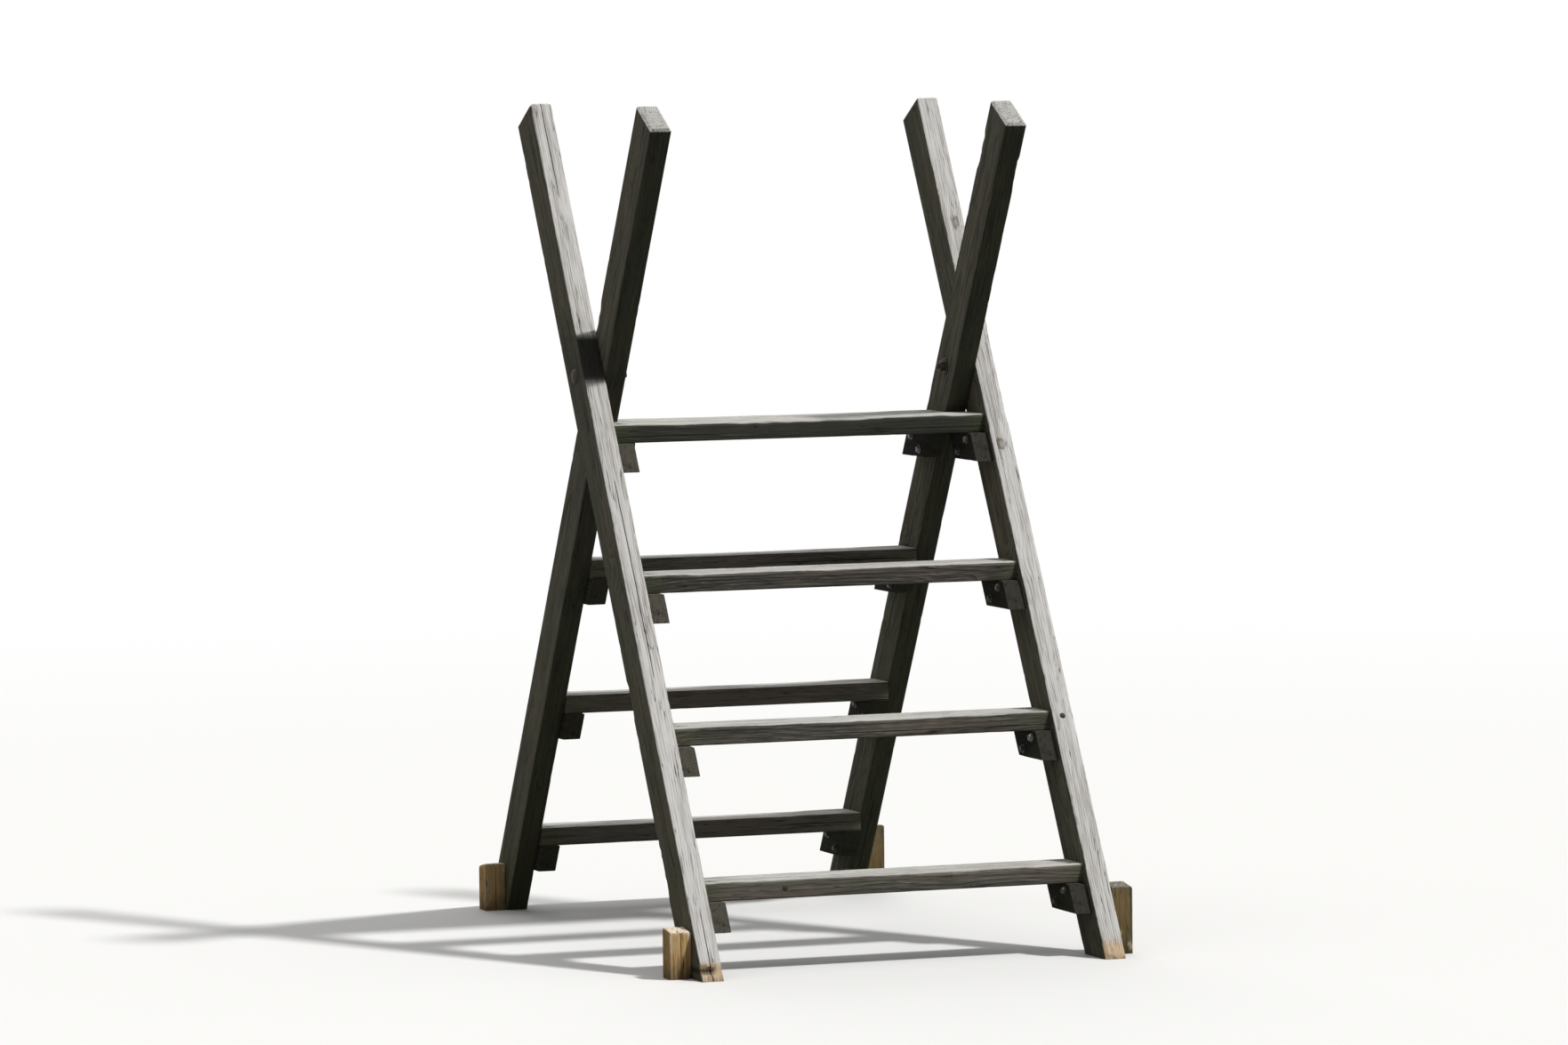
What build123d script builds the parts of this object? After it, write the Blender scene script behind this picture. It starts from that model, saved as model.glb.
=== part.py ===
from build123d import *

import os
from math import cos, radians, sin, tan

# Timber ladder stile, free-standing, in millimetres.
# X runs along the treads, the front ladder is on the -Y side, and +Z is up.
# The origin is on the ground, midway between the four feet.

# Overall form
platform_height = 1050   # ground to the walking face of the two top treads
hand_post_height = 640   # platform to a hand post's highest corner, before its chamfer
clear_width = 800        # between the inner faces of the two front legs
lean = 30                # of every leg from the vertical, in degrees

# Legs, which cross above the platform and run on as hand posts
leg_thickness = 45
leg_depth = 95
leg_arris = 3            # rounding along a leg's four long edges
post_chamfer = 5         # round the sawn end of each hand post

# Treads
lowest_step = 180        # ground to the walking face of the lowest tread
lower_treads = 3         # under the platform, on each ladder
tread_thickness = 38
tread_setback = 8        # walking edge behind the leg's outer edge
board_gap = 3            # between the two top treads
leg_clearance = 1        # between a top tread and the other ladder's legs
worn_arris = 7           # upper outer arris, rounded by boots
sawn_arris = 2           # the two lower arrises

# Cleats, one under each end of every tread
cleat_thickness = 38
cleat_height = 56
cleat_setback = 14       # outer end behind the leg's outer edge
cleat_reach = 24         # inner end past the leg's inner edge
cleat_arris = 2

# Ground pegs, one against the outer side of each foot
peg_side = 45
left_peg_height = 100
right_peg_height = 142
peg_chamfer = 7          # battered edge round a peg's head
peg_head_slope = 9       # of the sawn head, in degrees

# A leg's depth measured level, as it meets a tread or the ground
slope = tan(radians(lean))
level_depth = leg_depth / cos(radians(lean))

# A tread ends where its ladder's legs do, so that the two top treads meet at the middle
tread_depth = level_depth - tread_setback - (board_gap - leg_clearance)
cleat_length = level_depth - cleat_setback + cleat_reach
rise = (platform_height - lowest_step) / lower_treads

# The legs cross where both top treads, each inside its own legs, leave the board gap
crossing_height = platform_height + (
    tread_setback + tread_depth + board_gap / 2 - level_depth / 2) / slope

front_outer_x = clear_width / 2 + leg_thickness
front_inner_x = clear_width / 2
rear_inner_x = front_inner_x - leg_thickness
post_length = (platform_height + hand_post_height - crossing_height) / cos(radians(lean)) \
    - leg_depth / 2 * slope
foot_length = crossing_height / cos(radians(lean)) + leg_depth

# Each ladder: its outward direction along Y, and the X of its legs' outer and inner faces
ladders = {
    "front": (-1, front_outer_x, front_inner_x),
    "rear": (1, front_inner_x, rear_inner_x),
}
sides = {"left": -1, "right": 1}
peg_heights = {"left": left_peg_height, "right": right_peg_height}


def outer_edge(outward, height):
    """Y of a leg's outer edge at a height, the edge that the walker meets."""
    return outward * ((crossing_height - height) * slope + level_depth / 2)


def leg(side, outward, outer_x, inner_x):
    """A straight stringer, sawn level at its foot and square across its top."""
    grain = (0, -outward * sin(radians(lean)), cos(radians(lean)))
    face = Plane(origin=(side * inner_x, 0, crossing_height), x_dir=grain, z_dir=(side, 0, 0))
    with BuildPart() as piece:
        with BuildSketch(face):
            with Locations(((post_length - foot_length) / 2, 0)):
                Rectangle(post_length + foot_length, leg_depth)
        extrude(amount=outer_x - inner_x)
        sawn_end = piece.faces().sort_by(Axis((0, 0, 0), grain))[-1]
        chamfer(sawn_end.edges(), length=post_chamfer)
        fillet(piece.edges().filter_by(Axis((0, 0, 0), grain)), radius=leg_arris)
        split(bisect_by=Plane.XY, keep=Keep.TOP)
    return piece


def tread(outward, inner_x, height):
    """A board between one ladder's legs, with its walking edge rounded by wear."""
    walking_edge = outer_edge(outward, height) - outward * tread_setback
    middle = walking_edge - outward * tread_depth / 2
    with BuildPart() as piece:
        with BuildSketch(Plane.YZ.offset(-inner_x)):
            with Locations((middle, height - tread_thickness / 2)):
                Rectangle(tread_depth, tread_thickness)
        extrude(amount=2 * inner_x)
        long_edges = piece.edges().filter_by(Axis.X)
        upper = long_edges.group_by(Axis.Z)[-1].sort_by(Axis.Y)
        worn = upper[-1] if outward > 0 else upper[0]
        fillet(worn, radius=worn_arris)
        sawn = piece.edges().filter_by(Axis.X).group_by(Axis.Z)[0]
        chamfer(sawn, length=sawn_arris)
    return piece


def cleat(side, outward, inner_x, tread_height):
    """The block under a tread's end, with both ends sawn to the slope of the leg."""
    top = tread_height - tread_thickness
    bottom = top - cleat_height
    top_end = outer_edge(outward, top) - outward * cleat_setback
    bottom_end = outer_edge(outward, bottom) - outward * cleat_setback
    reach = outward * cleat_length
    with BuildPart() as piece:
        with BuildSketch(Plane.YZ.offset(side * inner_x)):
            with BuildLine():
                Polyline(
                    (top_end, top),
                    (top_end - reach, top),
                    (bottom_end - reach, bottom),
                    (bottom_end, bottom),
                    close=True,
                )
            make_face()
        extrude(amount=-side * cleat_thickness)
        room_side = piece.faces().sort_by(Axis.X)[0 if side > 0 else -1]
        lower_edge = room_side.edges().sort_by(Axis.Z)[0]
        chamfer(lower_edge, length=cleat_arris)
    return piece


def peg(side, outward, outer_x, height):
    """A square stake beside a foot, with a sloping sawn head and battered edges."""
    beside_leg = outward * (crossing_height - height / 2) * slope
    centre = (side * (outer_x + peg_side / 2), beside_leg)
    fall = peg_side * tan(radians(peg_head_slope))
    with BuildPart() as piece:
        with BuildSketch(Plane.XY):
            with Locations(centre):
                Rectangle(peg_side, peg_side)
        extrude(amount=height)
        head = Plane(
            origin=(centre[0], centre[1], height - fall / 2),
            z_dir=(0, outward * sin(radians(peg_head_slope)), cos(radians(peg_head_slope))),
        )
        split(bisect_by=head, keep=Keep.BOTTOM)
        chamfer(piece.faces().sort_by(Axis.Z)[-1].edges(), length=peg_chamfer)
    return piece


def save(piece, name):
    """Labels a finished piece and writes its file."""
    piece.part.label = name
    export_step(piece.part, f"parts/{name}.step")
    print(f"{name:26s} {piece.part.volume / 1e6:7.3f} litres")


os.makedirs("parts", exist_ok=True)

for ladder, (outward, outer_x, inner_x) in ladders.items():
    for side_name, side in sides.items():
        save(leg(side, outward, outer_x, inner_x), f"{ladder}_{side_name}_leg")
        save(peg(side, outward, outer_x, peg_heights[side_name]), f"{ladder}_{side_name}_peg")

    for step in range(lower_treads + 1):
        height = platform_height - step * rise
        level = "top" if step == 0 else f"lower_{step}"
        save(tread(outward, inner_x, height), f"{ladder}_{level}_tread")
        for side_name, side in sides.items():
            save(cleat(side, outward, inner_x, height), f"{ladder}_{level}_{side_name}_cleat")

print("tread depth", round(tread_depth, 1), "mm, rise", round(rise, 1), "mm")
print("crossing height", round(crossing_height, 1), "mm, spread of the feet",
      round(2 * outer_edge(1, 0), 1), "mm")
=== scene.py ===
# %% [markdown]
# # A timber ladder stile
# The stile is a pair of short ladders that lean together. Their legs cross above the platform
# and run on as hand posts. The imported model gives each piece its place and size, and this lesson
# gives each piece what years outdoors do to sawn softwood: chipped arrises, drying checks,
# silver grain and green tints. A few steel fixings are added.

# %% Open the frame
from math import cos, pi, radians, sin, tan

import bmesh
import bpy
from mathutils import Euler, Matrix, Vector, noise


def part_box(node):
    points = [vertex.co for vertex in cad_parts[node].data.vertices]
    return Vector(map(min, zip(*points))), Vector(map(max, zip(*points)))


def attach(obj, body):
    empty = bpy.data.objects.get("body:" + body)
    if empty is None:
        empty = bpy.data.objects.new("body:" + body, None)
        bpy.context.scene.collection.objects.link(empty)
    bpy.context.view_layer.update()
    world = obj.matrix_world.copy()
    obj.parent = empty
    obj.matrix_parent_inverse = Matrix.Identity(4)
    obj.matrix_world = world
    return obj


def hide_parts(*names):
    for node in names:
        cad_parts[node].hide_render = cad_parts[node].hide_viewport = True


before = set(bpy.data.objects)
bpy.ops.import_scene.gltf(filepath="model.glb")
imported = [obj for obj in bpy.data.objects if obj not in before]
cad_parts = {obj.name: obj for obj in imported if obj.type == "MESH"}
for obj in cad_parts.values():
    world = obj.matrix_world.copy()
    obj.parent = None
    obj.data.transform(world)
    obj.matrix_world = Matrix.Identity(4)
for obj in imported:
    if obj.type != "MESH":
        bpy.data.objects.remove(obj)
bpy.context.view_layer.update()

print(len(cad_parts), "pieces of timber in the frame")

# %% [markdown]
# ## Sizes read from the frame
# Every board is rebuilt as a finer mesh in the place of its plain node. Most sizes come from the
# node's own box. A box doesn't show a lean, the section of a leg or how far an edge is rounded,
# so those sizes are named.

# %% Sizes that the boxes don't show, in metres
LEAN = radians(30)
LEG_DEPTH = 0.095
LEVEL_DEPTH = LEG_DEPTH / cos(LEAN)
LEG_ARRIS = 0.003
SAWN_END_CHAMFER = 0.005
WALKING_ARRIS = 0.007
TREAD_ARRIS = 0.002
CLEAT_ARRIS = 0.002
PEG_ARRIS = 0.003
PEG_HEAD_CHAMFER = 0.007
PEG_HEAD_SLOPE = radians(9)

LADDERS = {"front": -1, "rear": 1}
SIDES = {"left": -1, "right": 1}
LEVELS = ["top", "lower_1", "lower_2", "lower_3"]

outer_foot = -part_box("front_left_leg")[0].y
CROSSING = (outer_foot - LEVEL_DEPTH / 2) / tan(LEAN)
print("the legs cross at", round(CROSSING, 4), "m above the floor")

# %% [markdown]
# ## A board and its own directions
# Wood looks right when its figure runs along the piece. So each board has directions of its own:
# x along the grain, y across its breadth and z through its thickness. The mesh is made around the
# origin in those directions and then set in its place by one matrix.


# %% Directions of a board in the frame
def placing(centre, along, breadth):
    """The matrix that sets a board in its place, from its centre and two directions."""
    along = Vector(along).normalized()
    breadth = Vector(breadth).normalized()
    turned = Matrix((along, breadth, along.cross(breadth))).transposed()
    return Matrix.Translation(centre) @ turned.to_4x4()


# %% [markdown]
# Each board also has a place of its own in one endless log, so that no two boards show the same
# knots. A point's coordinates in that log are what the finishes read.

# %% A board's place in the log
LOG_STEP = 2.5


def in_log(point, seed):
    """Coordinates in the log of a point that is given in the board's own directions."""
    return Vector(point) + Vector((seed * LOG_STEP, 0, 0))


# %% [markdown]
# ## Rough shape by bmesh operators
# A board starts as a cube that is scaled to size. Sloping ends are cut with bisect_plane, the
# arrises are bevelled, and the board is then cut crosswise and lengthwise into small faces, so
# that wear can move them. A drying check needs three close lines: two lips and a bottom.


# %% Cuts through a mesh
TINY = 1e-6
ARRIS_ANGLE = radians(60)


def cut(bm, point, normal, drop=False):
    """Cuts everything at a plane. With drop, what lies past the plane goes and the hole is closed."""
    everything = bm.verts[:] + bm.edges[:] + bm.faces[:]
    result = bmesh.ops.bisect_plane(
        bm, geom=everything, plane_co=point, plane_no=normal, dist=TINY, clear_outer=drop)
    if drop:
        rim = [e for e in result["geom_cut"] if isinstance(e, bmesh.types.BMEdge)]
        bmesh.ops.contextual_create(bm, geom=rim)


def round_edges(bm, picked, width, segments):
    """Bevels some edges."""
    bmesh.ops.bevel(bm, geom=picked, offset=width, offset_type="OFFSET", segments=segments,
                    profile=0.5, affect="EDGES", material=-1, clamp_overlap=True)


def runs_along(edge):
    """Whether an edge lies along the grain."""
    a, b = (v.co for v in edge.verts)
    return abs(a.y - b.y) < TINY and abs(a.z - b.z) < TINY


def long_arrises(bm):
    """The sharp edges along the grain, without the lines of an arris that is rounded already."""
    bm.normal_update()
    return [e for e in bm.edges if runs_along(e) and e.calc_face_angle() > ARRIS_ANGLE]


# %% [markdown]
# ## The lines of the drying checks
# Softwood that dries in the sun splits along its grain. A check is a narrow V that starts and
# stops within a face. Its line is chosen midway between two of the ordinary cuts, so that it can
# wander a little without crossing one.

# %% Cell sizes of the finished mesh, in metres
CELL = 0.0075
CELL_ALONG = 0.007
CHECK_HALF_WIDTH = 0.0009
CHECK_WANDER = 0.0012


def even_cuts(half, arris):
    """Places of the ordinary cuts across a board, clear of its rounded arrises."""
    room = 2 * (half - arris)
    count = max(2, round(room / CELL))
    return [-half + arris + room * i / count for i in range(1, count)]


def between_cuts(cuts, share):
    """A place midway between two neighbouring cuts, at about that share of the way across."""
    i = min(len(cuts) - 2, max(0, int(share * (len(cuts) - 1))))
    return (cuts[i] + cuts[i + 1]) / 2


# %% [markdown]
# ## One function for every board
# The kinds of board differ only in size, in the shape of their ends and in which arrises are
# rounded, so one function cuts them all. `shape_ends` is called on the plain block.


# %% Build the fine mesh of a board
def fine_board(size, arris, shape_ends, check_shares):
    """A board centred on the origin, ready to be worn. Returns the bmesh and its check lines."""
    half = Vector(size) / 2
    bm = bmesh.new()
    bmesh.ops.create_cube(bm, size=1)
    bmesh.ops.scale(bm, vec=size, verts=bm.verts)
    shape_ends(bm, half)
    bmesh.ops.recalc_face_normals(bm, faces=bm.faces)
    round_edges(bm, long_arrises(bm), arris, segments=3)
    lines = []
    for axis, shares in zip((1, 2), check_shares):
        normal = Vector()
        normal[axis] = 1
        ordinary = even_cuts(half[axis], arris)
        for place in ordinary:
            cut(bm, normal * place, normal)
        for share in shares:
            line = between_cuts(ordinary, share)
            lines.append((axis, line))
            for step in (-CHECK_HALF_WIDTH, 0, CHECK_HALF_WIDTH):
                cut(bm, normal * (line + step), normal)
    lengthwise = [e for e in bm.edges if runs_along(e) and e.calc_length() > 4 * CELL_ALONG]
    bmesh.ops.subdivide_edges(
        bm, edges=lengthwise, cuts=max(1, round(size[0] / CELL_ALONG) - 1), use_grid_fill=True)
    return bm, lines


# %% [markdown]
# ## Wear
# Wear takes timber away, so a point moves only inward or along its own face, and the piece stays
# inside its node. Sawn arrises stay straight for most of their length and lose a chip here and
# there. Faces weather a fraction of a millimetre back, and checks open along their lines.


# %% Small steps of wear
CLOSE = 1e-5
ON_THE_FACE = 1e-4


def ramp(value, low, high):
    """0 below low, 1 above high and smooth between."""
    t = min(1.0, max(0.0, (value - low) / (high - low)))
    return t * t * (3 - 2 * t)


def chipped(x, corner, chips):
    """How deep an arris is chipped at a place along it: a few long, ragged chips and small nicks."""
    large = ramp(noise.noise((x * 7, corner, 0.5)), 0.44, 0.54)
    ragged = 0.6 + 0.4 * noise.noise((x * 90, corner, 4.5))
    small = ramp(noise.noise((x * 40, corner, 3.5)), 0.42, 0.6) * 0.18
    return chips * (large * ragged + small)


def sharpen_lips(bm, lines):
    for edge in bm.edges:
        for axis, line in lines:
            off = (abs(abs(v.co[axis] - line) - CHECK_HALF_WIDTH) for v in edge.verts)
            if max(off) < CLOSE:
                edge.smooth = False


def checked(vert, half, lines, seed, inward, check_depth):
    opened = 0.0
    for index, (axis, line) in enumerate(lines):
        across = vert.co[axis]
        if abs(across - line) > CHECK_HALF_WIDTH + CLOSE:
            continue
        side = 1 if (index + seed) % 2 else -1
        other = 3 - axis
        if vert.co[other] * side < half[other] - ON_THE_FACE:
            continue
        x = vert.co.x
        inward[axis] += CHECK_WANDER * noise.noise((x * 6, seed * 3.1 + index, 7.7))
        if abs(across - line) < CLOSE:
            opened = ramp(noise.noise((x * 2.7, seed + index * 5.3, 1.9)), 0.0, 0.3)
            inward[other] -= side * check_depth * opened
    return opened


# %% Move the points of a board as wear does
NEAR_ARRIS = 0.011
WEATHERED_BACK = 0.0004


def wear_board(bm, half, lines, seed, chips, check_depth, extra=None, tone=0.0, green=0.0,
               stain_and_shade=None):
    """Wears a board and stores on its points what its finish needs to know."""
    sharpen_lips(bm, lines)
    floats = bm.verts.layers.float
    board = bm.verts.layers.float_vector.new("board")
    arris, check = floats.new("arris"), floats.new("check")
    from_end = floats.new("from_end")
    piece_tone, piece_green = floats.new("tone"), floats.new("green")
    stain_and_shade_layer = floats.new("stain_and_shade")
    for vert in bm.verts:
        x, y, z = vert.co
        inside_y, inside_z = half.y - abs(y), half.z - abs(z)
        side_y, side_z = (1 if y > 0 else -1), (1 if z > 0 else -1)
        corner = seed * 7.3 + 2.1 * side_y + 0.9 * side_z
        near = 1 - ramp(max(inside_y, inside_z), 0.0, NEAR_ARRIS)
        inward = Vector((0, -side_y, -side_z)) * chipped(x, corner, chips) * near
        back = (0.5 + 0.5 * noise.noise((x * 9, y * 30 + seed, z * 30))) * WEATHERED_BACK
        if inside_z <= inside_y:
            inward.z -= side_z * back
        else:
            inward.y -= side_y * back
        if extra:
            inward += extra(vert.co)
        vert[check] = checked(vert, half, lines, seed, inward, check_depth)
        vert[arris] = near
        vert[from_end] = half.x - abs(x)
        vert[piece_tone] = tone
        vert[piece_green] = green
        vert[stain_and_shade_layer] = stain_and_shade(vert.co) if stain_and_shade else 0.0
        vert.co += inward
        vert[board] = in_log(vert.co, seed)


# %% Turn a bmesh into an object and hand it to the frame
def object_of(bm, name, finish):
    """Makes an object of a bmesh, in the scene and with its finish."""
    mesh = bpy.data.meshes.new(name)
    bm.to_mesh(mesh)
    bm.free()
    made = bpy.data.objects.new(name, mesh)
    bpy.context.scene.collection.objects.link(made)
    mesh.materials.append(finish)
    return made


def dress(bm, name, slot, *stands_for):
    """Makes a piece of a bmesh, with its finish and what it stands for."""
    bmesh.ops.recalc_face_normals(bm, faces=bm.faces)
    if bm.calc_volume(signed=True) < 0:
        bmesh.ops.reverse_faces(bm, faces=bm.faces)
    piece = object_of(bm, name, finishes[slot])
    if stands_for:
        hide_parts(*stands_for)
    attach(piece, "root")
    return piece


# %% Finish a board's mesh
SMOOTH_LIMIT = radians(32)
END_GRAIN_LIMIT = 0.75


def finish_board(bm, node, slot, place):
    """Marks the end grain, sets the board in its place and lets it stand for its node."""
    bm.normal_update()
    check = bm.verts.layers.float["check"]
    groove = bm.faces.layers.float.new("groove")
    end_grain = bm.faces.layers.float.new("end_grain")
    for face in bm.faces:
        face.smooth = True
        face[groove] = max(v[check] for v in face.verts)
        face[end_grain] = 1.0 if abs(face.normal.x) > END_GRAIN_LIMIT else 0.0
    for edge in bm.edges:
        if len(edge.link_faces) != 2 or edge.calc_face_angle() > SMOOTH_LIMIT:
            edge.smooth = False
    bmesh.ops.transform(bm, matrix=place, verts=bm.verts)
    for vert in bm.verts:
        vert.co.z = max(0.0, vert.co.z)
    return dress(bm, node + "_board", slot, node)


# %% [markdown]
# ## Shader helpers
# Each effect is a node group that gives out masks or a colour. A few small functions keep the
# wiring short: one adds a node with its inputs, and the others do sums with sockets.


# %% Nodes and sums
def connect(tree, value, socket):
    """Links a socket, or sets a value. A colour is given without its alpha."""
    if isinstance(value, bpy.types.NodeSocket):
        tree.links.new(value, socket)
    elif socket.type == "RGBA":
        socket.default_value = (*value, 1)
    else:
        socket.default_value = value


def add(tree, kind, inputs=(), **settings):
    """Adds a node. An input is a socket to link or a value to set."""
    made = tree.nodes.new(kind)
    for key, value in settings.items():
        setattr(made, key, value)
    for key, value in dict(inputs).items():
        connect(tree, value, made.inputs[key])
    return made


def calc(tree, operation, *values):
    """A Math node's result."""
    return add(tree, "ShaderNodeMath", dict(enumerate(values)), operation=operation).outputs[0]


def times(tree, first, second):
    """Two values multiplied."""
    return calc(tree, "MULTIPLY", first, second)


def total(tree, *terms):
    """The sum of sockets, each with its weight."""
    result = None
    for socket, weight in terms:
        part = times(tree, socket, weight)
        result = part if result is None else calc(tree, "ADD", result, part)
    return result


def root_of_squares(tree, *terms):
    """The root of a sum of squares, each with its weight."""
    return calc(tree, "SQRT", total(tree, *((times(tree, s, s), weight) for s, weight in terms)))


def remap(tree, value, low, high, to_low=0.0, to_high=1.0):
    """A value taken smoothly from one range to another."""
    inputs = {"Value": value, "From Min": low, "From Max": high, "To Min": to_low, "To Max": to_high}
    return add(tree, "ShaderNodeMapRange", inputs, interpolation_type="SMOOTHSTEP").outputs[0]


# %% Vectors, noises and colours
def vectors(tree, operation, *values):
    """A Vector Math node's outputs."""
    return add(tree, "ShaderNodeVectorMath", dict(enumerate(values)), operation=operation).outputs


def parts_of(tree, vector):
    """The three parts of a vector."""
    return add(tree, "ShaderNodeSeparateXYZ", {0: vector}).outputs


def stretched(tree, vector, along, across):
    """Coordinates scaled along the grain and across it, so that a noise becomes streaks."""
    return vectors(tree, "MULTIPLY", vector, (along, across, across))[0]


def cloud(tree, vector, detail=3.0, roughness=0.55):
    """A noise from 0 to 1 over coordinates that are already scaled."""
    inputs = {"Vector": vector, "Scale": 1.0, "Detail": detail, "Roughness": roughness}
    return add(tree, "ShaderNodeTexNoise", inputs).outputs["Fac"]


def swing(tree, vector, detail=3.0, roughness=0.55):
    """The same noise, from -0.5 to 0.5."""
    return calc(tree, "SUBTRACT", cloud(tree, vector, detail, roughness), 0.5)


def thin_lines(tree, swinging, core, edge):
    """A mask of the lines along which a swinging noise passes 0."""
    return remap(tree, calc(tree, "ABSOLUTE", swinging), core, edge, 1.0, 0.0)


def mixed(tree, share, first, second):
    """Two colours mixed by a share. The Mix node's colour sockets are its 7th and 8th."""
    made = add(tree, "ShaderNodeMix", {0: share, 6: first, 7: second}, data_type="RGBA")
    return made.outputs[2]


# %% New groups
SOCKETS = {"vector": "NodeSocketVector", "value": "NodeSocketFloat", "colour": "NodeSocketColor"}


def new_group(name, inputs, outputs):
    """A shader group, with the names of its sockets by kind. Returns its tree and both ends."""
    tree = bpy.data.node_groups.new(name, "ShaderNodeTree")
    for in_out, kinds in (("INPUT", inputs), ("OUTPUT", outputs)):
        for kind, labels in kinds.items():
            for label in labels:
                tree.interface.new_socket(label, in_out=in_out, socket_type=SOCKETS[kind])
    taken = tree.nodes.new("NodeGroupInput").outputs
    given = tree.nodes.new("NodeGroupOutput").inputs
    return tree, taken, given


def give(tree, given, **outputs):
    """Links what a group gives out. A name is written with _ for each space."""
    for label, socket in outputs.items():
        tree.links.new(socket, given[label.replace("_", " ")])


def use(tree, group, *sources, **inputs):
    """Places a group. It takes what the sources hold under the names of its inputs, and the
    inputs that are given by name, with _ for each space."""
    made = add(tree, "ShaderNodeGroup", node_tree=group)
    for source in sources:
        for label, value in source.items():
            if label in made.inputs:
                connect(tree, value, made.inputs[label])
    for label, value in inputs.items():
        connect(tree, value, made.inputs[label.replace("_", " ")])
    return made.outputs


def cleared(owner):
    """The emptied node tree of a material or a world."""
    owner.use_nodes = True
    owner.node_tree.nodes.clear()
    return owner.node_tree


# %% [markdown]
# ## Group: knots
# A knot is the foot of a branch. The log is divided into long cells with one knot in each, and
# two more can be given by their place. The group gives the distance to the nearest knot, a mask
# of the knot itself and one of its darker rim. Knots are a little longer along the grain.

# %% Knots
KNOT_ALONG = 3.1
KNOT_ACROSS = 8.0
KNOT_STRETCH = 0.65
KNOT_EDGE = (0.0150, 0.0215)
RIM_EDGE = (0.0105, 0.0170)
FAR_AWAY = (-99.0, 0.0, 0.0)


def make_knots():
    tree, taken, given = new_group(
        "knots", dict(vector=["Board", "First", "Second"]), dict(value=["Distance", "Knot", "Rim"]))
    board = taken["Board"]
    cells = add(tree, "ShaderNodeTexVoronoi",
                {"Vector": stretched(tree, board, KNOT_ALONG, KNOT_ACROSS), "Scale": 1.0})
    centre = stretched(tree, cells.outputs["Position"], 1 / KNOT_ALONG, 1 / KNOT_ACROSS)
    nearest = None
    for knot in (centre, taken["First"], taken["Second"]):
        away = vectors(tree, "SUBTRACT", board, knot)[0]
        distance = vectors(tree, "LENGTH", stretched(tree, away, KNOT_STRETCH, 1.0))["Value"]
        nearest = distance if nearest is None else calc(tree, "MINIMUM", nearest, distance)
    ragged = total(tree, (nearest, 1.0), (cloud(tree, stretched(tree, board, 60.0, 110.0)), 0.018))
    give(tree, given, Distance=nearest, Knot=remap(tree, ragged, *KNOT_EDGE, 1.0, 0.0),
         Rim=remap(tree, ragged, *RIM_EDGE))
    return tree


knots = make_knots()
print("knots:", len(knots.nodes), "nodes")

# %% [markdown]
# ## Group: softwood figure
# A log is a stack of cones, so a board's figure is the distance from the pith, with a slow wander
# along the grain and a swelling round each knot. Sawn through, that gives straight lines on one
# face, arches on another and arcs on the end grain. Each year ends in a dark, hard line of
# latewood. Fibres and streaks are noises that are stretched along the grain.


# %% Softwood figure
YEAR_WIDTH = 0.0045
WANDER = 0.05


def make_figure():
    tree, taken, given = new_group(
        "softwood figure", dict(vector=["Board"], value=["Distance", "Pith Y", "Pith Z"]),
        dict(value=["Latewood", "Fibre", "Streak", "Patch", "Hairline", "Ray Crack"]))
    board = taken["Board"]
    slow = add(tree, "ShaderNodeTexNoise",
               {"Vector": stretched(tree, board, 1.6, 5.0), "Scale": 1.0, "Detail": 2.0})
    drift = vectors(tree, "SUBTRACT", slow.outputs["Color"], (0.5, 0.5, 0.5))[0]
    moved = vectors(tree, "ADD", board, stretched(tree, drift, WANDER, WANDER))[0]
    parts = parts_of(tree, moved)
    across_y = calc(tree, "SUBTRACT", parts[1], taken["Pith Y"])
    across_z = calc(tree, "SUBTRACT", parts[2], taken["Pith Z"])
    radius = root_of_squares(tree, (across_y, 1.0), (across_z, 1.0))
    swelling = remap(tree, taken["Distance"], 0.0, 0.05, 0.014, 0.0)
    years = calc(tree, "DIVIDE", calc(tree, "ADD", radius, swelling), YEAR_WIDTH)
    part_of_year = calc(tree, "FRACT", years)
    latewood = times(tree, calc(tree, "POWER", part_of_year, 2.6),
                     remap(tree, part_of_year, 0.90, 1.0, 1.0, 0.0))
    angle = times(tree, calc(tree, "ARCTAN2", across_y, across_z), 26.0)
    spokes = add(tree, "ShaderNodeCombineXYZ", {0: angle, 1: times(tree, radius, 30.0)}).outputs[0]
    hairs = thin_lines(tree, swing(tree, stretched(tree, moved, 5.0, 190.0), 1.0), 0.004, 0.020)
    comes_and_goes = remap(tree, cloud(tree, stretched(tree, board, 11.0, 60.0), 2.0), 0.46, 0.60)
    give(tree, given, Latewood=latewood,
         Fibre=cloud(tree, stretched(tree, board, 26.0, 620.0), 2.0),
         Streak=cloud(tree, stretched(tree, board, 4.5, 150.0), 6.0, 0.66),
         Patch=cloud(tree, stretched(tree, board, 3.2, 17.0), 4.0, 0.62),
         Hairline=times(tree, hairs, comes_and_goes),
         Ray_Crack=thin_lines(tree, swing(tree, spokes, 1.0), 0.004, 0.016))
    return tree


figure = make_figure()
print("softwood figure:", len(figure.nodes), "nodes")

# %% [markdown]
# ## Group: exposure
# Faces that look up bleach to silver. Side faces and undersides stay dark, and damp ones turn
# green, most of all low down. The masks ask which way the surface faces and how high it is,
# broken up by noises that follow the board. Shelter sets how far up a face has to look, Nibble
# how ragged the silver ends at an arris, and the inside of a check never bleaches.


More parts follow.
